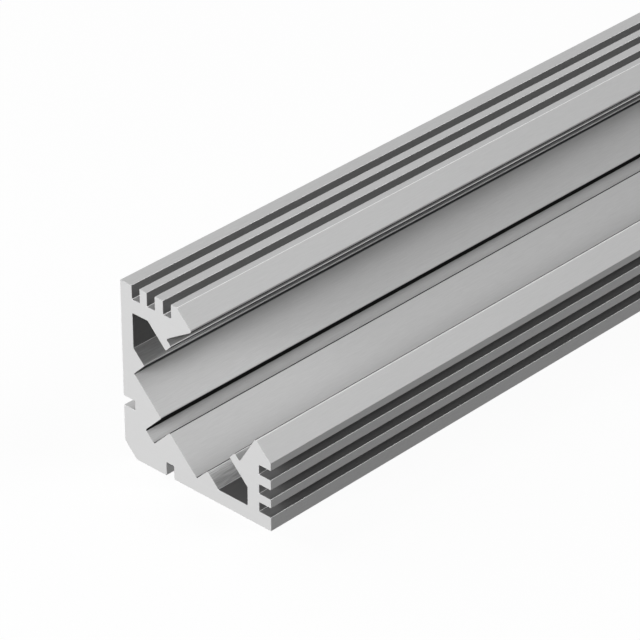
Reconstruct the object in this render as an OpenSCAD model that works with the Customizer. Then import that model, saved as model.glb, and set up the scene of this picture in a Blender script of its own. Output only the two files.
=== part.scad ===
// Corner LED strip profile: one extruded aluminium length with two equal legs
// and a sunken strip floor that faces the room at 45 degrees.
// Sizes are in millimetres. The section is symmetric about its diagonal.

/* [Length of stock] */
// Length of the bar
length = 1000; // [100:50:3000]

/* [Outer form] */
// Length of each leg, measured from the outer corner
leg = 30; // [24:0.5:45]
// Size of the flat on the outer corner, along each leg
corner_flat = 2.4; // [0.5:0.1:4]
// Thickness of the outer walls
wall_t = 2.4; // [1.5:0.1:4]

/* [Leg end fins] */
// Width of each slot between fins
slot_w = 1.6; // [0.8:0.1:2.2]
// Depth of the slots
slot_depth = 2.35; // [1:0.05:4]
// Thickness of the second fin, counted from the outer face
fin_2_t = 1.5; // [0.8:0.1:2.5]
// Thickness of the third fin
fin_3_t = 1.7; // [0.8:0.1:2.5]
// Thickness of the last fin, next to the lip
fin_4_t = 1.25; // [0.8:0.05:2.5]
// Thickness left between the slots and the side cavity
deck_t = 2.35; // [1:0.05:4]

/* [Mounting notches] */
// Distance from the outer corner to the notch
notch_at = 8.65; // [4:0.05:12]
// Width of the notch
notch_w = 1.6; // [0.8:0.1:3]
// Depth of the notch
notch_depth = 2.35; // [0.5:0.05:3]

/* [Strip floor] */
// Distance from the outer corner to the floor, along the diagonal
floor_d = 12.3; // [10:0.1:18]
// Full width of the floor between the side steps
floor_w = 17.8; // [8:0.1:24]
// Height of the side steps above the floor
step_h = 3.1; // [0.5:0.1:5]
// Width of the screw groove in the middle of the floor
groove_w = 2.4; // [1:0.1:4]
// Depth of the screw groove
groove_depth = 4.75; // [1:0.05:6]

/* [Side cavities and diffuser ribs] */
// Clear width of each side cavity above the step
cavity_w = 6.4; // [3:0.1:9]
// Thickness of the ribs that close the cavities
rib_t = 1.6; // [0.8:0.1:3]
// How far each rib stands out below its lip
rib_len = 1.35; // [0.4:0.05:3]

/* [Lips] */
// Width of the slanted face on each lip
lip_face_w = 3.9; // [1:0.1:6]
// Thickness left at the tip of the lip
lip_tip_t = 0.32; // [0.2:0.01:1]

/* [Edge finish] */
// Radius on the outer edges
edge_r = 0.2; // [0.05:0.05:0.4]
// Radius in the inner corners
inner_r = 0.1; // [0.05:0.05:0.3]
// Radius on the tip of the lip
tip_r = 0.1; // [0.02:0.01:0.15]
// Number of flats used for each rounded corner
arc_steps = 4; // [2:1:8]

/* [Hidden] */
metal = [0.78, 0.79, 0.80];

slot_1 = wall_t;
slot_2 = slot_1 + slot_w + fin_2_t;
slot_3 = slot_2 + slot_w + fin_3_t;
land_w = slot_3 + slot_w + fin_4_t;
slot_floor = leg - slot_depth;
cavity_end = slot_floor - deck_t;
half_w = floor_w / 2;
step_d = floor_d + step_h;
rib_in_d = step_d + cavity_w;
rib_out_d = rib_in_d + rib_t;
tip_x = land_w + lip_face_w * sqrt(0.5);
tip_y = leg - lip_face_w * sqrt(0.5);

// Place given by the distance d along the diagonal and s sideways, up the leg.
function diag(d, s) = [(d - s) * sqrt(0.5), (d + s) * sqrt(0.5)];

// One entry of the outline: a place and the radius of its corner.
function spot(p, r) = [p[0], p[1], r];

// Three sides of a slot that opens through the end of the leg.
function slot(x) = [
    [x, leg, edge_r],
    [x, slot_floor, inner_r],
    [x + slot_w, slot_floor, inner_r],
    [x + slot_w, leg, edge_r]
];

// Upright half of the section, from the corner flat round to the screw groove.
upright_half = concat(
    [
        [0, corner_flat, edge_r],
        [0, notch_at, edge_r],
        [notch_depth, notch_at, inner_r],
        [notch_depth, notch_at + notch_w, inner_r],
        [0, notch_at + notch_w, edge_r],
        [0, leg, edge_r]
    ],
    slot(slot_1),
    slot(slot_2),
    slot(slot_3),
    [
        [land_w, leg, edge_r],
        [tip_x, tip_y, tip_r],
        [tip_x, tip_y - lip_tip_t, tip_r],
        spot(diag(rib_out_d, half_w + rib_len), inner_r),
        spot(diag(rib_out_d, half_w), edge_r),
        spot(diag(rib_in_d, half_w), edge_r),
        [sqrt(2) * rib_in_d - cavity_end, cavity_end, inner_r],
        [wall_t, cavity_end, inner_r],
        [wall_t, sqrt(2) * step_d - wall_t, inner_r],
        spot(diag(step_d, half_w), edge_r),
        spot(diag(floor_d, half_w), inner_r),
        spot(diag(floor_d, groove_w / 2), edge_r),
        spot(diag(floor_d - groove_depth, groove_w / 2), inner_r)
    ]
);

// The other half is the same list mirrored in the diagonal, in reverse order.
last = len(upright_half) - 1;
mirrored_half = [
    for (i = [last : -1 : 0])
        [upright_half[i][1], upright_half[i][0], upright_half[i][2]]
];
outline = concat(upright_half, mirrored_half);
count = len(outline);

function place(i) = [outline[i % count][0], outline[i % count][1]];
function unit(v) = v / norm(v);
function turn(u, v) = u[0] * v[1] - u[1] * v[0];

// Points of the arc that rounds corner i, from its first tangent to its second.
function corner_arc(i) =
    let (
        p = place(i),
        u = unit(place(i + count - 1) - p),
        v = unit(place(i + 1) - p),
        half = acos(u * v) / 2,
        r = outline[i][2],
        centre = p + unit(u + v) * r / sin(half),
        first = p + u * r / tan(half) - centre,
        sweep = (180 - 2 * half) * sign(turn(v, u))
    )
    [
        for (k = [0 : arc_steps])
            let (t = sweep * k / arc_steps)
                centre + [
                    first[0] * cos(t) - first[1] * sin(t),
                    first[0] * sin(t) + first[1] * cos(t)
                ]
    ];

module section() {
    polygon([for (i = [0 : count - 1]) each corner_arc(i)]);
}

module corner_profile() {
    color(metal)
        translate([-leg / 2, length / 2, 0])
            rotate([90, 0, 0])
                linear_extrude(height = length)
                    section();
}

corner_profile();
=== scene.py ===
"""Visual model of a corner LED strip profile, a bar of extruded and clear anodised aluminium.

The bar is one surface: the closed outline of the section is carried along the length, and the two sawn
ends are closed with flat faces behind a fine deburred edge. All sizes are in metres, in the frame of the
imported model: the bar runs along Y, one leg lies on the floor and the other stands at low X.
"""
import logging
import math
from dataclasses import dataclass, field
from enum import Enum

import bpy
import numpy as np
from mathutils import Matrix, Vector


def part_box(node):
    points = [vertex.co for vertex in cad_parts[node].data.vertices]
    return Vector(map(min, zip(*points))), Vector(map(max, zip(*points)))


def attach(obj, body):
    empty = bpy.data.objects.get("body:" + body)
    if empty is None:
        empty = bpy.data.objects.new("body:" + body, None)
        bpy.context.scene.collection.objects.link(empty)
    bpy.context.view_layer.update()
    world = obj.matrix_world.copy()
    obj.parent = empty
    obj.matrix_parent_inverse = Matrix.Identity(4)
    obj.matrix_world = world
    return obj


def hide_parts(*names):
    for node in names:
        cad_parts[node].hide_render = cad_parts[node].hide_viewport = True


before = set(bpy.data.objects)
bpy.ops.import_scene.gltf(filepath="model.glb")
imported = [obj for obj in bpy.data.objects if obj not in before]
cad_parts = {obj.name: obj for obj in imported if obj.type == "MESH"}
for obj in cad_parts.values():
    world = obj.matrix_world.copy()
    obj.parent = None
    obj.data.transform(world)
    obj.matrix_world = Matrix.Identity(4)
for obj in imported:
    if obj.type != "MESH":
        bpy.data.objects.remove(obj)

log = logging.getLogger("corner_profile")

MM = 0.001
CAD_NODE = "corner_profile"
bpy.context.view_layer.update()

# The colour sockets of Blender's Mix node, whose names are shared with its other sockets.
MIX_FIRST = 6
MIX_SECOND = 7
MIX_RESULT = 2

WHITE = (1.0, 1.0, 1.0)

Colour = tuple[float, float, float]
Socket = bpy.types.NodeSocket

# One value for the standing half of the section and one for the lying half.
Pair = tuple[float, float]


@dataclass(frozen=True)
class CornerLook:
    """How a corner of the section is rounded by the die, and the highlight and shade painted on its edge.

    Its painted edge light is 1 on an edge with a painted highlight and -1 on one with a painted dark line
    of shade, one value for each half. A corner with shows_painted_rim_shading set gives its two sides
    their painted_rim_shading value.
    """

    radius: float
    painted_edge_light: Pair
    shows_painted_rim_shading: bool = False


class CornerKind(Enum):
    """The kinds of corner."""

    # Painted edge light for the standing and the lying half: above nought a painted highlight, below
    # nought a painted dark line of shade.
    OUTER = CornerLook(0.10 * MM, painted_edge_light=(0.5, 0.42))
    SLOT_EDGE = CornerLook(0.06 * MM, painted_edge_light=(0.5, 0.5), shows_painted_rim_shading=True)
    LIP_TOP = CornerLook(0.12 * MM, painted_edge_light=(1.0, 0.0))
    RIB_EDGE = CornerLook(0.24 * MM, painted_edge_light=(1.0, 1.0))
    INNER = CornerLook(0.10 * MM, painted_edge_light=(1.0, 1.0))
    LIP_FRONT = CornerLook(0.30 * MM, painted_edge_light=(-0.3, 0.55))
    LIP_BACK = CornerLook(0.34 * MM, painted_edge_light=(-1.0, -1.0))
    FLOOR_EDGE = CornerLook(0.18 * MM, painted_edge_light=(0.4, -1.0))
    STEP_FOOT = CornerLook(0.14 * MM, painted_edge_light=(-0.5, -1.0), shows_painted_rim_shading=True)
    GROOVE_FOOT = CornerLook(0.26 * MM, painted_edge_light=(-1.0, 0.0))


@dataclass(frozen=True)
class SideLook:
    """How a side looks: its die lines, and the shade, light and black painted on it.

    Lined is how strongly the die's lines stand out. Painted shading above nought is painted shade, which
    darkens the side and takes away its sheen; below nought it is painted light, which makes the side
    paler.
    The painted_rim_shading is what comes on top of it next to a corner that shows it, and painted black is
    how much the side is painted black as shade.
    """

    lined: Pair
    painted_shading: Pair = (0.0, 0.0)
    painted_rim_shading: Pair = (0.0, 0.0)
    painted_black: Pair = (0.0, 0.0)


class Side(Enum):
    """The kinds of side between two corners."""

    # Painted shade in the hollows, on the fin ends, rib end, step and groove; painted light on the notch
    # and the lying cavity slope.
    OPEN = SideLook(lined=(0.04, 0.04))
    FIN_END = SideLook(lined=(0.07, 0.07), painted_shading=(0.07, 0.10))
    FLOOR = SideLook(lined=(0.07, 0.05), painted_rim_shading=(-0.52, 0.0))
    NOTCH = SideLook(lined=(0.07, 0.07), painted_shading=(-0.35, -0.90))
    SLOT_WALL = SideLook(lined=(0.1, 0.1), painted_shading=(0.68, 0.64), painted_rim_shading=(0.0, 0.30))
    SLOT_BOTTOM = SideLook(lined=(0.05, 0.05), painted_shading=(0.1, 0.1))
    CAVITY_WALL = SideLook(lined=(0.1, 0.1), painted_shading=(0.50, 0.92))
    CAVITY_SLOPE = SideLook(lined=(0.25, 1.0), painted_shading=(0.42, -0.62))
    UNDERCUT = SideLook(lined=(0.15, 0.15), painted_shading=(0.4, 0.25))
    # Painted black shade on the lying rib end, the step walls and the groove walls.
    RIB_END = SideLook(lined=(0.05, 0.05), painted_shading=(1.0, 1.0), painted_black=(0.0, 1.0))
    STEP_WALL = SideLook(lined=(0.0, 0.0), painted_shading=(1.0, 1.0), painted_black=(0.2, 1.0))
    GROOVE_WALL = SideLook(lined=(0.0, 0.0), painted_shading=(1.0, 1.0), painted_black=(1.0, 1.0))
    GROOVE_BOTTOM = SideLook(lined=(0.1, 0.1), painted_shading=(0.1, 0.1))


# A corner's place and kind, and the side that starts there.
Corner = tuple[tuple[float, float], CornerKind, Side]


@dataclass
class Outline:
    """The closed outline of the section: its points, their outward normals and their surface layers."""

    points: np.ndarray
    normals: np.ndarray
    layers: dict[str, np.ndarray]


@dataclass
class Section:
    """The section of the bar, in the plane of its end.

    Both coordinates start at the sharp outer corner: the first runs along the leg on the floor, the
    second up the standing leg. The section is the same on both sides of its diagonal. The two rises say
    how fast a painted highlight and a painted dark line grow along an arc, and the painted black of a side
    fades out from black_from over black_fade, both as shares of the arc.
    """

    leg: float
    corner_flat: float = 2.4 * MM
    wall: float = 2.4 * MM
    slot_width: float = 1.6 * MM
    slot_depth: float = 2.35 * MM
    fin_2: float = 1.5 * MM
    fin_3: float = 1.7 * MM
    fin_4: float = 1.25 * MM
    deck: float = 2.35 * MM
    notch_at: float = 8.65 * MM
    notch_width: float = 1.6 * MM
    notch_depth: float = 2.35 * MM
    floor_at: float = 12.3 * MM
    floor_width: float = 17.8 * MM
    step_height: float = 3.1 * MM
    groove_width: float = 2.4 * MM
    groove_depth: float = 4.75 * MM
    cavity_width: float = 6.4 * MM
    rib: float = 1.6 * MM
    rib_length: float = 1.35 * MM
    lip_face: float = 3.9 * MM
    lip_tip: float = 0.32 * MM
    arc_steps: int = 6
    # How fast the painted highlights and the painted dark lines rise along an arc.
    painted_highlight_rise: float = 1.5
    painted_dark_line_rise: float = 4.0
    black_from: float = 0.35
    black_fade: float = 0.2

    def from_diagonal(self, along: float, aside: float) -> tuple[float, float]:
        """Turns a place given along the diagonal and sideways from it into leg coordinates.

        Args:
            along: Distance from the outer corner along the diagonal.
            aside: Distance from the diagonal, positive towards the standing leg.

        Returns:
            The place in leg coordinates.
        """
        return (along - aside) * math.sqrt(0.5), (along + aside) * math.sqrt(0.5)

    def slot(self, start: float) -> list[Corner]:
        """The four corners of one slot through the end of the standing leg.

        Args:
            start: Where the slot begins, measured from the outer face.

        Returns:
            Each corner's place and kind, and the side that starts there.
        """
        bottom, end = self.leg - self.slot_depth, start + self.slot_width
        return [
            ((start, self.leg), CornerKind.SLOT_EDGE, Side.SLOT_WALL),
            ((start, bottom), CornerKind.INNER, Side.SLOT_BOTTOM),
            ((end, bottom), CornerKind.INNER, Side.SLOT_WALL),
            ((end, self.leg), CornerKind.SLOT_EDGE, Side.FIN_END),
        ]

    def standing_half(self) -> list[Corner]:
        """The corners of the standing half, from the corner flat round to the screw groove.

        Returns:
            Each corner's place and kind, and the side that starts there, in order.
        """
        outer, inner = CornerKind.OUTER, CornerKind.INNER
        slot_1 = self.wall
        slot_2 = slot_1 + self.slot_width + self.fin_2
        slot_3 = slot_2 + self.slot_width + self.fin_3
        land = slot_3 + self.slot_width + self.fin_4
        cavity_end = self.leg - self.slot_depth - self.deck
        step = self.floor_at + self.step_height
        rib_back = step + self.cavity_width
        rib_front = rib_back + self.rib
        half = self.floor_width / 2
        reach = self.lip_face * math.sqrt(0.5)
        notch_end = self.notch_at + self.notch_width
        groove_half = self.groove_width / 2
        groove_bottom = self.floor_at - self.groove_depth
        return [
            ((0.0, self.corner_flat), outer, Side.OPEN),
            ((0.0, self.notch_at), outer, Side.NOTCH),
            ((self.notch_depth, self.notch_at), inner, Side.NOTCH),
            ((self.notch_depth, notch_end), inner, Side.NOTCH),
            ((0.0, notch_end), outer, Side.OPEN),
            ((0.0, self.leg), outer, Side.FIN_END),
            *self.slot(slot_1),
            *self.slot(slot_2),
            *self.slot(slot_3),
            ((land, self.leg), CornerKind.LIP_TOP, Side.OPEN),
            ((land + reach, self.leg - reach), CornerKind.LIP_FRONT, Side.OPEN),
            ((land + reach, self.leg - reach - self.lip_tip), CornerKind.LIP_BACK, Side.UNDERCUT),
            (self.from_diagonal(rib_front, half + self.rib_length), inner, Side.UNDERCUT),
            (self.from_diagonal(rib_front, half), CornerKind.RIB_EDGE, Side.RIB_END),
            (self.from_diagonal(rib_back, half), CornerKind.RIB_EDGE, Side.CAVITY_WALL),
            ((math.sqrt(2) * rib_back - cavity_end, cavity_end), inner, Side.CAVITY_WALL),
            ((self.wall, cavity_end), inner, Side.CAVITY_WALL),
            ((self.wall, math.sqrt(2) * step - self.wall), inner, Side.CAVITY_SLOPE),
            (self.from_diagonal(step, half), CornerKind.RIB_EDGE, Side.STEP_WALL),
            (self.from_diagonal(self.floor_at, half), CornerKind.STEP_FOOT, Side.FLOOR),
            (self.from_diagonal(self.floor_at, groove_half), CornerKind.FLOOR_EDGE, Side.GROOVE_WALL),
            (self.from_diagonal(groove_bottom, groove_half), CornerKind.GROOVE_FOOT, Side.GROOVE_BOTTOM),
        ]

    def outline(self) -> Outline:
        """The closed outline: the standing half, then its mirror image in the diagonal, in reverse order.

        Returns:
            The outline, with every corner rounded.
        """
        half = self.standing_half()
        corners = half + [((b, a), kind, side) for (a, b), kind, side in reversed(half)]
        kinds = [kind for _, kind, _ in corners]
        sides = [side for _, _, side in half]
        sides += sides[-2::-1] + [Side.OPEN]
        share = np.linspace(0.0, 1.0, self.arc_steps + 1)[None, :]
        points, normals = self.arcs(np.array([place for place, _, _ in corners]), kinds, share)
        layers = self.layers(kinds, sides, share)
        return Outline(
            points=points.reshape(-1, 2),
            normals=normals.reshape(-1, 2),
            layers={name: values.reshape(-1) for name, values in layers.items()},
        )

    def arcs(
        self, place: np.ndarray, kinds: list[CornerKind], share: np.ndarray
    ) -> tuple[np.ndarray, np.ndarray]:
        """Rounds every corner by an arc.

        The arc's centre stands on the bisector of the corner at radius / sin(half angle), its ends at
        radius / tan(half angle) along the two sides, and its points are the first end turned about the
        centre in equal steps. The normal of an arc point lies along its radius: away from the centre on
        an outer corner and towards it on an inner one.

        Args:
            place: The corners' places, in order round the section.
            kinds: The corners' kinds.
            share: How far along its arc each point lies, as a row from 0 to 1.

        Returns:
            The points and their outward normals, each by corner, step and coordinate.
        """
        radius = np.array([[kind.value.radius] for kind in kinds])
        back = np.roll(place, 1, axis=0) - place
        onward = np.roll(place, -1, axis=0) - place
        back /= np.linalg.norm(back, axis=1, keepdims=True)
        onward /= np.linalg.norm(onward, axis=1, keepdims=True)
        bisector = back + onward
        bisector /= np.linalg.norm(bisector, axis=1, keepdims=True)
        half_angle = np.arccos((back * onward).sum(axis=1, keepdims=True)) / 2
        centre = place + bisector * radius / np.sin(half_angle)
        first = place + back * radius / np.tan(half_angle) - centre
        turn = back[:, 1:] * onward[:, :1] - back[:, :1] * onward[:, 1:]
        outer = np.where(turn < 0, 1.0, -1.0)
        angle = -outer * (math.pi - 2 * half_angle) * share
        spoke = np.stack(
            [
                first[:, :1] * np.cos(angle) - first[:, 1:] * np.sin(angle),
                first[:, :1] * np.sin(angle) + first[:, 1:] * np.cos(angle),
            ],
            axis=2,
        )
        return centre[:, None, :] + spoke, (outer / radius)[:, :, None] * spoke

    def layers(
        self, kinds: list[CornerKind], sides: list[Side], share: np.ndarray
    ) -> dict[str, np.ndarray]:
        """The surface layers on the arcs, which carry the die lines and the painted light and shade; on a
        side they run evenly from one arc's end to the next.

        An arc's painted edge light rises from its ends to its middle, as a squared sine for a painted
        highlight and as a sine for a painted dark line. Its lined and painted shading values go evenly
        from the side before it to the side after it, with the painted_rim_shading of its sides added where
        the corner shows it. The painted black of a side fades out evenly over the part of the arc that
        lies next to it.

        Args:
            kinds: The corners' kinds, in order round the section.
            sides: The side that starts at each corner.
            share: How far along its arc each point lies, as a row from 0 to 1.

        Returns:
            Each layer's values, by corner and step.
        """
        painted_edge_light = self.by_half([kind.value.painted_edge_light for kind in kinds])
        lined = self.by_half([side.value.lined for side in sides])
        painted_shading = self.by_half([side.value.painted_shading for side in sides])
        painted_rim_shading = self.by_half([side.value.painted_rim_shading for side in sides])
        black = self.by_half([side.value.painted_black for side in sides])
        hump = np.sin(math.pi * share)
        hump = np.where(painted_edge_light > 0, self.painted_highlight_rise * hump**2, self.painted_dark_line_rise * hump)
        # Painted light on the upper floor next to the step, and painted shade at the mouths of the lying
        # slots.
        shows_painted_rim_shading = np.array([[kind.value.shows_painted_rim_shading] for kind in kinds])
        painted_shading_before = np.roll(painted_shading, 1, axis=0) + np.roll(painted_rim_shading, 1, axis=0) * shows_painted_rim_shading
        painted_shading_after = painted_shading + painted_rim_shading * shows_painted_rim_shading
        fade = np.clip((share - self.black_from) / self.black_fade, 0.0, 1.0)
        return {
            "painted_edge_light": painted_edge_light * np.minimum(1.0, hump),
            "lined": np.roll(lined, 1, axis=0) * share[:, ::-1] + lined * share,
            "painted_shading": painted_shading_before * share[:, ::-1] + painted_shading_after * share,
            "painted_black": np.roll(black, 1, axis=0) * fade[:, ::-1] + black * fade,
        }

    def by_half(self, pairs: list[Pair]) -> np.ndarray:
        """Takes each pair's first value on the standing half and its second on the lying half.

        Args:
            pairs: One pair for each corner or side, in the order of the outline.

        Returns:
            One value for each of them, as a column.
        """
        values = np.array(pairs)
        lying = np.arange(len(values)) >= len(values) // 2
        return np.where(lying, values[:, 1], values[:, 0])[:, None]


@dataclass(frozen=True)
class Grain:
    """A noise drawn out along one axis: its cycles per metre along X, Y and Z, and its octaves."""

    cycles: tuple[float, float, float]
    octaves: float


@dataclass
class ShaderTree:
    """The nodes of a material or of the world, with short ways to add and link them."""

    node_tree: bpy.types.NodeTree

    def feed(self, socket: Socket, value: Socket | Colour | float) -> None:
        """Gives an input its value.

        Args:
            socket: The input.
            value: Another node's output, a plain colour or a number.
        """
        if isinstance(value, bpy.types.NodeSocket):
            self.node_tree.links.new(value, socket)
        elif isinstance(value, tuple):
            socket.default_value = (*value, 1.0)
        else:
            socket.default_value = value

    def layer(self, name: str) -> Socket:
        """The value of one of the bar's surface layers."""
        node = self.node_tree.nodes.new("ShaderNodeAttribute")
        node.attribute_name = name
        return node.outputs["Fac"]

    def math(self, operation: str, first: Socket, second: Socket | float) -> Socket:
        """The result of one math node."""
        node = self.node_tree.nodes.new("ShaderNodeMath")
        node.operation = operation
        self.feed(node.inputs[0], first)
        self.feed(node.inputs[1], second)
        return node.outputs["Value"]

    def ranged(
        self, value: Socket, low: float, high: float, start: float = 0.0, end: float = 1.0
    ) -> Socket:
        """Takes a value evenly from one range over to another, and holds it there past the ends.

        Args:
            value: The value.
            low: The result at the start.
            high: The result at the end.
            start: Where the value's range starts.
            end: Where the value's range ends.

        Returns:
            The result.
        """
        node = self.node_tree.nodes.new("ShaderNodeMapRange")
        node.inputs["From Min"].default_value = start
        node.inputs["From Max"].default_value = end
        node.inputs["To Min"].default_value = low
        node.inputs["To Max"].default_value = high
        self.feed(node.inputs["Value"], value)
        return node.outputs["Result"]

    def mixed(
        self,
        factor: Socket | float,
        first: Socket | Colour,
        second: Socket | Colour,
        blend: str = "MIX",
    ) -> Socket:
        """Mixes two colours.

        Args:
            factor: How much of the second colour shows.
            first: The colour at 0.
            second: The colour at 1.
            blend: Blender's name for how the second colour goes over the first.

        Returns:
            The mixed colour.
        """
        node = self.node_tree.nodes.new("ShaderNodeMix")
        node.data_type = "RGBA"
        node.blend_type = blend
        self.feed(node.inputs["Factor"], factor)
        self.feed(node.inputs[MIX_FIRST], first)
        self.feed(node.inputs[MIX_SECOND], second)
        return node.outputs[MIX_RESULT]

    def noise(self, coords: bpy.types.Node, grain: Grain) -> Socket:
        """A grain laid over the object's own coordinates.

        Args:
            coords: The texture coordinate node.
            grain: The grain.

        Returns:
            The noise value, from 0 to 1.
        """
        mapping = self.node_tree.nodes.new("ShaderNodeMapping")
        mapping.inputs["Scale"].default_value = grain.cycles
        noise = self.node_tree.nodes.new("ShaderNodeTexNoise")
        noise.inputs["Scale"].default_value = 1.0
        noise.inputs["Detail"].default_value = grain.octaves
        self.feed(mapping.inputs["Vector"], coords.outputs["Object"])
        self.feed(noise.inputs["Vector"], mapping.outputs["Vector"])
        return noise.outputs["Fac"]

    def seen_ray(self) -> Socket:
        """One for rays that see the backdrop: straight, mirrored or through glass."""
        path = self.node_tree.nodes.new("ShaderNodeLightPath")
        seen = self.math("MAXIMUM", path.outputs["Is Camera Ray"], path.outputs["Is Glossy Ray"])
        return self.math("MAXIMUM", seen, path.outputs["Is Transmission Ray"])


@dataclass(frozen=True)
class AnodisedAluminium:
    """Clear anodised aluminium with lengthwise die lines on the sides and a finely sawn end, under the
    painted highlights, shade, light and black that the bar's layers carry.

    Each tint is how far its grain lightens and darkens the colour, as a share of it.
    """

    name: str = "anodised_aluminium"
    side_colour: Colour = (0.56, 0.56, 0.56)
    end_colour: Colour = (0.705, 0.705, 0.705)
    # Colours of the painted highlights, the painted dark lines and black, the painted light and the
    # painted shade.
    painted_highlight_colour: Colour = (0.95, 0.95, 0.95)
    painted_dark_colour: Colour = (0.045, 0.045, 0.045)
    painted_light_colour: Colour = (0.95, 0.95, 0.95)
    painted_shade_colour: Colour = (0.10, 0.10, 0.10)
    metallic: float = 0.05
    painted_highlight_metallic: float = 0.7
    specular: float = 0.30
    roughness: float = 0.34
    roughness_spread: float = 0.03
    die_lines: Grain = Grain((5000.0, 400.0, 5000.0), 2.0)
    die_lines_tint: float = 0.018
    furrows: Grain = Grain((6000.0, 350.0, 6000.0), 1.0)
    furrows_tint: float = 0.56
    cloud: Grain = Grain((60.0, 25.0, 60.0), 2.0)
    cloud_tint: float = 0.02
    saw_marks: Grain = Grain((160.0, 40.0, 5200.0), 2.0)
    saw_marks_tint: float = 0.012
    noise_low: float = 0.25
    noise_high: float = 0.75
    relief_strength: float = 0.12
    relief_height: float = 0.02 * MM
    end_slant: float = 0.9

    def material(self) -> bpy.types.Material:
        """Builds the material.

        Returns:
            A node material that reads only object coordinates, the normal and the bar's own layers.
        """
        mat = bpy.data.materials.new(self.name)
        mat.use_nodes = True
        shader = mat.node_tree.nodes["Principled BSDF"]
        coords = mat.node_tree.nodes.new("ShaderNodeTexCoord")
        tree = ShaderTree(mat.node_tree)
        lines = tree.noise(coords, self.die_lines)
        furrows = tree.noise(coords, self.furrows)
        cloud = tree.noise(coords, self.cloud)
        saw = tree.noise(coords, self.saw_marks)
        on_end = self.end_mask(tree, coords)
        # The painted shading, painted edge light and painted black layers of the bar.
        painted_shading = tree.layer("painted_shading")
        painted_edge_light = tree.layer("painted_edge_light")
        painted_highlight = tree.math("MAXIMUM", painted_edge_light, 0.0)
        dark = tree.math("MULTIPLY", painted_edge_light, -1.0)
        dark = tree.math("MAXIMUM", dark, tree.layer("painted_black"))
        pale = tree.math("MINIMUM", painted_shading, 0.0)
        pale = tree.math("MULTIPLY", pale, pale)

        side = self.tinted(tree, self.side_colour, lines, self.die_lines_tint)
        side = self.tinted(tree, side, cloud, self.cloud_tint)
        furrowed = self.tinted(tree, side, furrows, self.furrows_tint)
        side = tree.mixed(tree.layer("lined"), side, furrowed)
        # Painted light, then painted shade in the hollows, over the metal's colour.
        side = tree.mixed(pale, side, self.painted_light_colour)
        side = tree.mixed(painted_shading, side, self.painted_shade_colour)
        # Painted highlights along the edges.
        side = tree.mixed(painted_highlight, side, self.painted_highlight_colour)
        # Painted dark lines along the edges and painted black bands, as shade.
        side = tree.mixed(dark, side, self.painted_dark_colour)
        end = self.tinted(tree, self.end_colour, saw, self.saw_marks_tint)
        tree.feed(shader.inputs["Base Color"], tree.mixed(on_end, side, end))

        # The painted highlights are made metallic too.
        metallic = tree.math("MULTIPLY", painted_highlight, self.painted_highlight_metallic)
        metallic = tree.math("MAXIMUM", metallic, self.metallic)
        tree.feed(shader.inputs["Metallic"], metallic)
        # Painted shade and painted black take away the sheen.
        shaded = tree.math("MAXIMUM", painted_shading, dark)
        tree.feed(shader.inputs["Specular IOR Level"], tree.ranged(shaded, self.specular, 0.0))
        smooth, rough = self.roughness - self.roughness_spread, self.roughness + self.roughness_spread
        tree.feed(shader.inputs["Roughness"], tree.ranged(lines, smooth, rough))

        bump = mat.node_tree.nodes.new("ShaderNodeBump")
        bump.inputs["Strength"].default_value = self.relief_strength
        bump.inputs["Distance"].default_value = self.relief_height
        tree.feed(bump.inputs["Height"], tree.mixed(on_end, lines, saw))
        tree.feed(shader.inputs["Normal"], bump.outputs["Normal"])
        return mat

    def end_mask(self, tree: ShaderTree, coords: bpy.types.Node) -> Socket:
        """One on the sawn ends, whose normal runs along the bar, and nought on the sides.

        Args:
            tree: The material's nodes.
            coords: The texture coordinate node.

        Returns:
            The mask.
        """
        split = tree.node_tree.nodes.new("ShaderNodeSeparateXYZ")
        tree.feed(split.inputs["Vector"], coords.outputs["Normal"])
        along = tree.math("ABSOLUTE", split.outputs["Y"], 0.0)
        return tree.math("GREATER_THAN", along, self.end_slant)

    def tinted(
        self, tree: ShaderTree, colour: Socket | Colour, pattern: Socket, amount: float
    ) -> Socket:
        """Lightens and darkens a colour by a pattern, about its middle value.

        Args:
            tree: The material's nodes.
            colour: The colour to vary.
            pattern: A noise, whose values lie mostly between noise_low and noise_high.
            amount: How far the colour goes to each side, as a share of it.

        Returns:
            The varied colour.
        """
        spread = tree.ranged(pattern, 1.0 - amount, 1.0 + amount, self.noise_low, self.noise_high)
        return tree.mixed(1.0, colour, spread, blend="MULTIPLY")


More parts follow.
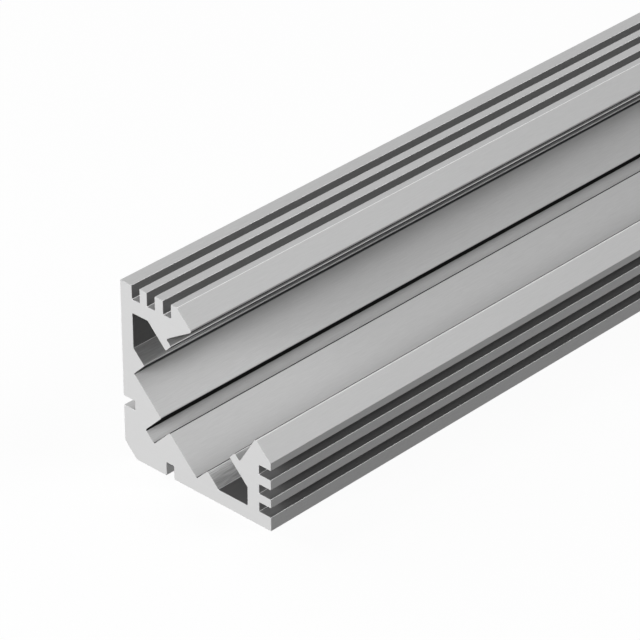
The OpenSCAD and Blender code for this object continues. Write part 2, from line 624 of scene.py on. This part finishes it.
@dataclass
class ProfileBar:
    """The bar itself: the section carried along Y, with a fine deburred edge round each sawn end."""

    section: Section
    front: float
    back: float
    origin_x: float
    finish: AnodisedAluminium = field(default_factory=AnodisedAluminium)
    edge_break: float = 0.03 * MM
    bays: int = 20

    def build(self) -> bpy.types.Object:
        """Makes the bar's object, with its finish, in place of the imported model's bar.

        Returns:
            The bar's object.
        """
        mesh = self.surface()
        mesh.materials.append(self.finish.material())
        bar = bpy.data.objects.new("profile_bar", mesh)
        bpy.context.scene.collection.objects.link(bar)
        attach(bar, "root")
        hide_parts(CAD_NODE)
        return bar

    def surface(self) -> bpy.types.Mesh:
        """The bar's closed surface.

        It is place(i, j) = outline point i at station j along the bar, moved inward by the edge break at
        the two outermost stations. Each bay between stations is a band of quads, and each end is one
        flat face on the outermost ring.

        Returns:
            The mesh, with its layers and its normals.
        """
        outline = self.section.outline()
        count = len(outline.points)
        run = np.linspace(self.front + self.edge_break, self.back - self.edge_break, self.bays + 1)
        stations = np.concatenate([[self.front], run, [self.back]])
        inset = np.zeros(len(stations))
        inset[[0, -1]] = self.edge_break
        rings = outline.points[None] - outline.normals[None] * inset[:, None, None]
        verts = np.empty((len(stations), count, 3))
        verts[..., 0] = rings[..., 0] + self.origin_x
        verts[..., 1] = stations[:, None]
        verts[..., 2] = rings[..., 1]

        bay, spot = np.meshgrid(np.arange(len(stations) - 1), np.arange(count), indexing="ij")
        here, there = bay * count, (bay + 1) * count
        after = (spot + 1) % count
        quads = np.stack([here + spot, here + after, there + after, there + spot], axis=2).reshape(-1, 4)
        front_cap = np.arange(count)[::-1]
        back_cap = (len(stations) - 1) * count + np.arange(count)
        faces = quads.tolist() + [front_cap.tolist(), back_cap.tolist()]

        mesh = bpy.data.meshes.new("profile_bar")
        mesh.from_pydata(verts.reshape(-1, 3).tolist(), [], faces)
        # The die lines and the painted light and shade go on as face-corner layers.
        for name, values in outline.layers.items():
            layer = mesh.attributes.new(name, "FLOAT", "CORNER")
            by_corner = np.concatenate([values[quads % count].reshape(-1), np.zeros(2 * count)])
            layer.data.foreach_set("value", by_corner.astype(np.float32))
        mesh.polygons.foreach_set("use_smooth", np.ones(len(faces), dtype=bool))
        normals = self.loop_normals(outline.normals, len(stations), quads)
        mesh.normals_split_custom_set(normals.tolist())
        mesh.update()
        return mesh

    def loop_normals(self, normals: np.ndarray, stations: int, quads: np.ndarray) -> np.ndarray:
        """The normal of each face corner, so that flats stay flat and arcs look round.

        On the sides it is the outline's own normal. On the two edge breaks it is halfway between that
        and the end's direction, and on the ends it runs along the bar.

        Args:
            normals: Outward normals of the outline.
            stations: Number of stations along the bar.
            quads: The side faces, as rows of four vertex numbers.

        Returns:
            One normal for each face corner, in the order of the faces.
        """
        count = len(normals)
        side = np.zeros((len(quads), 4, 3))
        side[..., 0] = normals[quads % count, 0]
        side[..., 2] = normals[quads % count, 1]
        bay = np.arange(len(quads)) // count
        side[bay == 0, :, 1] = -1.0
        side[bay == stations - 2, :, 1] = 1.0
        side /= np.linalg.norm(side, axis=2, keepdims=True)
        front = np.tile([0.0, -1.0, 0.0], (count, 1))
        return np.concatenate([side.reshape(-1, 3), front, -front])


@dataclass(frozen=True)
class Softbox:
    """A square studio lamp that faces the front part of the bar.

    The azimuth turns from the front end to the right, and both angles are in degrees. The level is the
    brightness that a white matt card at the target would show.
    """

    name: str
    azimuth: float
    elevation: float
    distance: float
    size: float
    level: float

    def place(self, target: Vector) -> bpy.types.Object:
        """Hangs the lamp and turns it to the target.

        The lamp's power is its level times pi squared times its distance squared.

        Args:
            target: The point that the lamp faces.

        Returns:
            The lamp's object.
        """
        turn, rise = math.radians(self.azimuth), math.radians(self.elevation)
        back = Vector((math.sin(turn) * math.cos(rise), -math.cos(turn) * math.cos(rise), math.sin(rise)))
        lamp = bpy.data.lights.new(self.name, "AREA")
        lamp.shape = "SQUARE"
        lamp.size = self.size
        lamp.energy = self.level * math.pi**2 * self.distance**2
        obj = bpy.data.objects.new(self.name, lamp)
        obj.location = target + back * self.distance
        obj.rotation_mode = "QUATERNION"
        obj.rotation_quaternion = back.to_track_quat("Z", "Y")
        bpy.context.scene.collection.objects.link(obj)
        return obj


@dataclass
class Studio:
    """The pale floor, the softboxes and the even light from all round.

    The softboxes face the middle of the section, a little behind the bar's front end.
    """

    front: float
    aim_behind_end: float = 80 * MM
    aim_height: float = 15 * MM
    floor_half: float = 30.0
    floor_shade: float = 0.10
    floor_white: float = 0.93
    fill: float = 0.06
    lamps: tuple[Softbox, ...] = (
        Softbox("front_light", 0.0, 20.0, 1.2, 0.5, 0.83),
        Softbox("back_light", 134.0, 39.0, 8.0, 3.7, 0.355),
        Softbox("left_light", 270.0, 40.0, 3.0, 1.6, 0.44),
    )

    def build(self) -> None:
        """Makes the floor, the lamps and the world."""
        self.floor()
        target = Vector((0.0, self.front + self.aim_behind_end, self.aim_height))
        for softbox in self.lamps:
            softbox.place(target)
        self.air()

    def floor(self) -> None:
        """Lays the floor, a large flat square under the bar."""
        half = self.floor_half
        corners = [(-half, -half, 0.0), (half, -half, 0.0), (half, half, 0.0), (-half, half, 0.0)]
        mesh = bpy.data.meshes.new("studio_floor")
        mesh.from_pydata(corners, [], [(0, 1, 2, 3)])
        mesh.materials.append(self.floor_material())
        floor = bpy.data.objects.new("studio_floor", mesh)
        bpy.context.scene.collection.objects.link(floor)

    def floor_material(self) -> bpy.types.Material:
        """A matt pale floor that looks white and still takes a soft shadow.

        Returns:
            The floor's material.
        """
        mat = bpy.data.materials.new("studio_floor")
        mat.use_nodes = True
        nodes = mat.node_tree.nodes
        nodes.remove(nodes["Principled BSDF"])
        tree = ShaderTree(mat.node_tree)
        seen = tree.seen_ray()
        matt = nodes.new("ShaderNodeBsdfDiffuse")
        tree.feed(matt.inputs["Color"], tree.ranged(seen, self.floor_shade, 1.0))
        white = nodes.new("ShaderNodeEmission")
        tree.feed(white.inputs["Color"], WHITE)
        blend = nodes.new("ShaderNodeMixShader")
        tree.feed(blend.inputs["Fac"], tree.math("MULTIPLY", seen, self.floor_white))
        tree.feed(blend.inputs[1], matt.outputs["BSDF"])
        tree.feed(blend.inputs[2], white.outputs["Emission"])
        tree.feed(nodes["Material Output"].inputs["Surface"], blend.outputs["Shader"])
        return mat

    def air(self) -> None:
        """Sets the world: white where it is seen, and a weak even light elsewhere."""
        world = bpy.data.worlds.new("studio_air")
        world.use_nodes = True
        bpy.context.scene.world = world
        tree = ShaderTree(world.node_tree)
        background = world.node_tree.nodes["Background"]
        tree.feed(background.inputs["Color"], WHITE)
        tree.feed(background.inputs["Strength"], tree.ranged(tree.seen_ray(), self.fill, 1.0))


@dataclass(frozen=True)
class PhotoCamera:
    """The camera of the photograph, which stands off the near end of the bar, to its right and above it.

    Angles are in degrees, lens and sensor in millimetres.
    """

    place: tuple[float, float, float] = (0.314519, -0.809184, 0.294879)
    azimuth: float = 43.156
    elevation: float = 31.071
    lens: float = 203.64
    sensor: float = 36.0

    def build(self) -> bpy.types.Object:
        """Makes the camera and hands it to the scene.

        Returns:
            The camera's object.
        """
        data = bpy.data.cameras.new("photo_camera")
        data.lens = self.lens
        data.sensor_width = self.sensor
        cam = bpy.data.objects.new("photo_camera", data)
        cam.location = self.place
        cam.rotation_euler = (math.radians(90.0 - self.elevation), 0.0, math.radians(self.azimuth))
        bpy.context.scene.collection.objects.link(cam)
        bpy.context.scene.camera = cam
        return cam


def main() -> None:
    logging.basicConfig(level=logging.INFO, format="%(name)s: %(message)s")
    bpy.context.scene.view_settings.view_transform = "Standard"
    PhotoCamera().build()
    low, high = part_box(CAD_NODE)
    section = Section(leg=high.z - low.z)
    bar = ProfileBar(section, front=low.y, back=high.y, origin_x=low.x).build()
    log.info("%s: %d faces", bar.name, len(bar.data.polygons))
    studio = Studio(front=low.y)
    studio.build()
    log.info("studio: %d lamps", len(studio.lamps))


if __name__ == "__main__":
    main()
